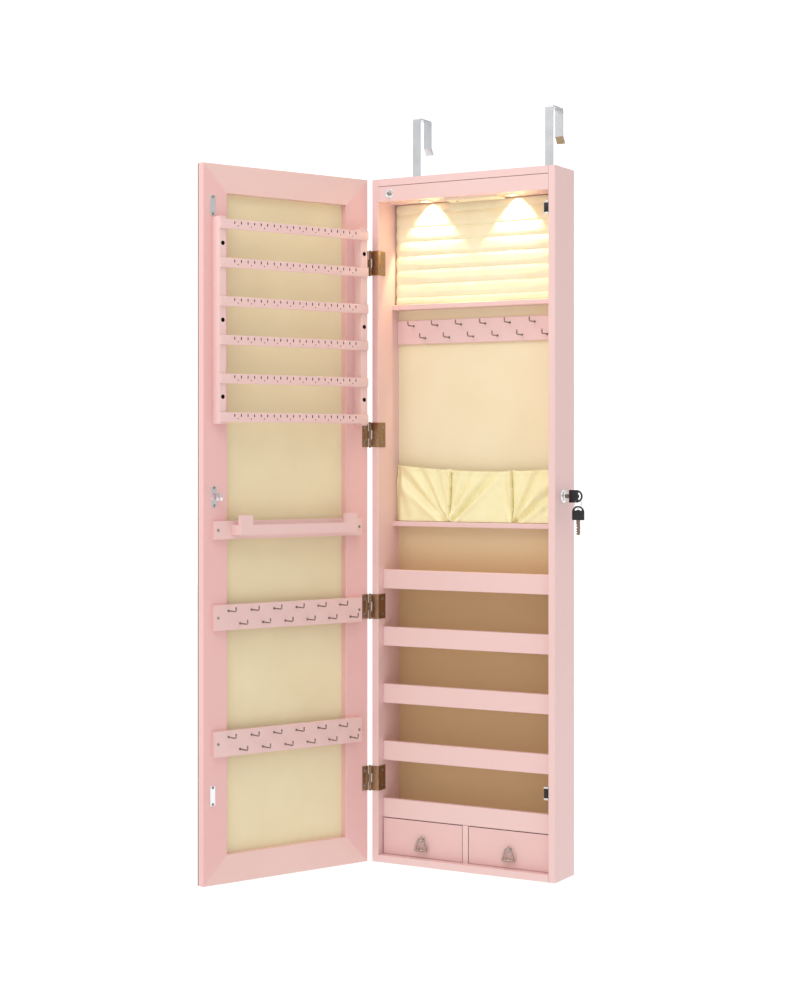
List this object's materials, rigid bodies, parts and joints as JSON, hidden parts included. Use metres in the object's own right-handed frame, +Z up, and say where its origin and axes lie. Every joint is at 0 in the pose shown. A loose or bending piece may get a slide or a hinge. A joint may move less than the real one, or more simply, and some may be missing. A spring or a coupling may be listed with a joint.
{
  "type": "jewelry mirror cabinet",
  "caption": "Shallow painted jewelry cabinet with a full-height mirror door that hangs over a house door on steel hooks; lit ring pad, hooks, pouch, tiers and drawers inside.",
  "frame": {"origin": "on the top edge of the house door that carries the cabinet, midway between the hooks, at that door's front face", "axes": "+X to the right seen from the front, +Y back through the house door, +Z up"},
  "size_m": [0.5386, 0.4598, 1.316],
  "materials": {
    "pink_paint": "satin paint on fibreboard",
    "pale_lining": "printed pale lining on board",
    "lining_cloth": "pale lining paper",
    "mirror_glass": "silvered float glass",
    "strap_steel": "zinc plated",
    "antique_bronze": "antique bronze plating",
    "antique_silver": "antique silver plating",
    "lock_chrome": "polished",
    "switch_metal": "polished",
    "cam_steel": "zinc plated",
    "key_black": "moulded head on a steel blade",
    "ring_steel": "bright wire",
    "hook_metal": "bright plating",
    "screw_steel": "zinc plated",
    "strike_steel": "zinc plated",
    "catch_black": "moulded housing with pale poles",
    "cream_plastic": "moulded",
    "lamp_white": "warm white lamp",
    "cell_jacket": "plain sleeve",
    "pad_cloth": "velvet over foam",
    "pouch_cloth": "satin",
    "bare_wood": "plain softwood",
    "drawer_lining": "plain board"
  },
  "bodies": {
    "cabinet": {"left_side_panel": "pink_paint", "right_side_panel": "pink_paint", "top_panel": "pink_paint", "bottom_panel": "pink_paint", "back_panel": "bare_wood", "back_lining": "lining_cloth", "light_valance": "pink_paint", "light_soffit": "pink_paint", "led_lamps": "lamp_white", "battery_box": "cream_plastic", "battery_cover": "cream_plastic", "batteries": "cell_jacket", "switch_bezel": "switch_metal", "hanging_batten": "bare_wood", "over_door_hooks": "strap_steel", "ring_shelf": "pink_paint", "pouch_shelf": "pink_paint", "tier_shelves": "pink_paint", "tier_rails": "pink_paint", "ring_pad": "pad_cloth", "pouch": "pouch_cloth", "necklace_rail": "pink_paint", "necklace_hooks": "hook_metal", "drawer_divider": "pink_paint", "cabinet_hinge_leaves": "antique_bronze", "hinge_pins": "antique_bronze", "magnetic_catches": "catch_black", "lock_barrel": "lock_chrome", "lock_nut": "cam_steel", "cabinet_screws": "screw_steel"},
    "door": {"door_hinge_leaves": "antique_bronze", "door_bottom_rail": "pink_paint", "door_top_rail": "pink_paint", "door_hinge_stile": "pink_paint", "door_latch_stile": "pink_paint", "door_lining": "pale_lining", "mirror": "mirror_glass", "rack_uprights": "pink_paint", "earring_slats": "pink_paint", "bracelet_board": "pink_paint", "bracelet_bar": "pink_paint", "door_hook_rails": "pink_paint", "door_hooks": "hook_metal", "magnet_strikes": "strike_steel", "lock_strike": "strike_steel", "door_screws": "screw_steel"},
    "light_switch": {"switch_plunger": "switch_metal"},
    "left_drawer": {"left_drawer_front": "pink_paint", "left_drawer_tray": "drawer_lining", "left_pull_post": "antique_silver"},
    "left_pull": {"left_pull_bail": "antique_silver"},
    "right_drawer": {"right_drawer_front": "pink_paint", "right_drawer_tray": "drawer_lining", "right_pull_post": "antique_silver"},
    "right_pull": {"right_pull_bail": "antique_silver"},
    "lock_key_set": {"lock_plug": "lock_chrome", "lock_cam": "cam_steel", "lock_key": "key_black"},
    "ring_on_key": {"key_ring": "ring_steel"},
    "hanging_key": {"spare_key": "key_black"}
  },
  "joints": [
    {"name": "door_swing", "type": "hinge", "parent": "cabinet", "child": "door", "pos_m": [-0.1784, -0.0825, -0.714], "axis": [0, 0, -1], "range_deg": [-111.8, 68.2]},
    {"name": "switch_press", "type": "slide", "parent": "cabinet", "child": "light_switch", "axis": [0, 1, 0], "range_m": [0, 0.0014], "stiffness_N_per_m": 400},
    {"name": "left_drawer_slide", "type": "slide", "parent": "cabinet", "child": "left_drawer", "axis": [0, -1, 0], "range_m": [0, 0.05]},
    {"name": "left_pull_swing", "type": "hinge", "parent": "left_drawer", "child": "left_pull", "pos_m": [-0.08375, -0.0709, -1.269], "axis": [-1, 0, 0], "range_deg": [0, 85]},
    {"name": "right_drawer_slide", "type": "slide", "parent": "cabinet", "child": "right_drawer", "axis": [0, -1, 0], "range_m": [0, 0.05]},
    {"name": "right_pull_swing", "type": "hinge", "parent": "right_drawer", "child": "right_pull", "pos_m": [0.08375, -0.0709, -1.269], "axis": [-1, 0, 0], "range_deg": [0, 85]},
    {"name": "key_turn", "type": "hinge", "parent": "cabinet", "child": "lock_key_set", "pos_m": [0.175, -0.0457, -0.668], "axis": [-1, 0, 0], "range_deg": [0, 90]},
    {"name": "key_ring_swing", "type": "hinge", "parent": "lock_key_set", "child": "ring_on_key", "pos_m": [0.20146, -0.0457, -0.67356], "axis": [0, -1, 0], "range_deg": [-8, 30]},
    {"name": "spare_key_swing", "type": "hinge", "parent": "ring_on_key", "child": "hanging_key", "pos_m": [0.20146, -0.0457, -0.68816], "axis": [0, -1, 0], "range_deg": [-8, 30]}
  ]
}
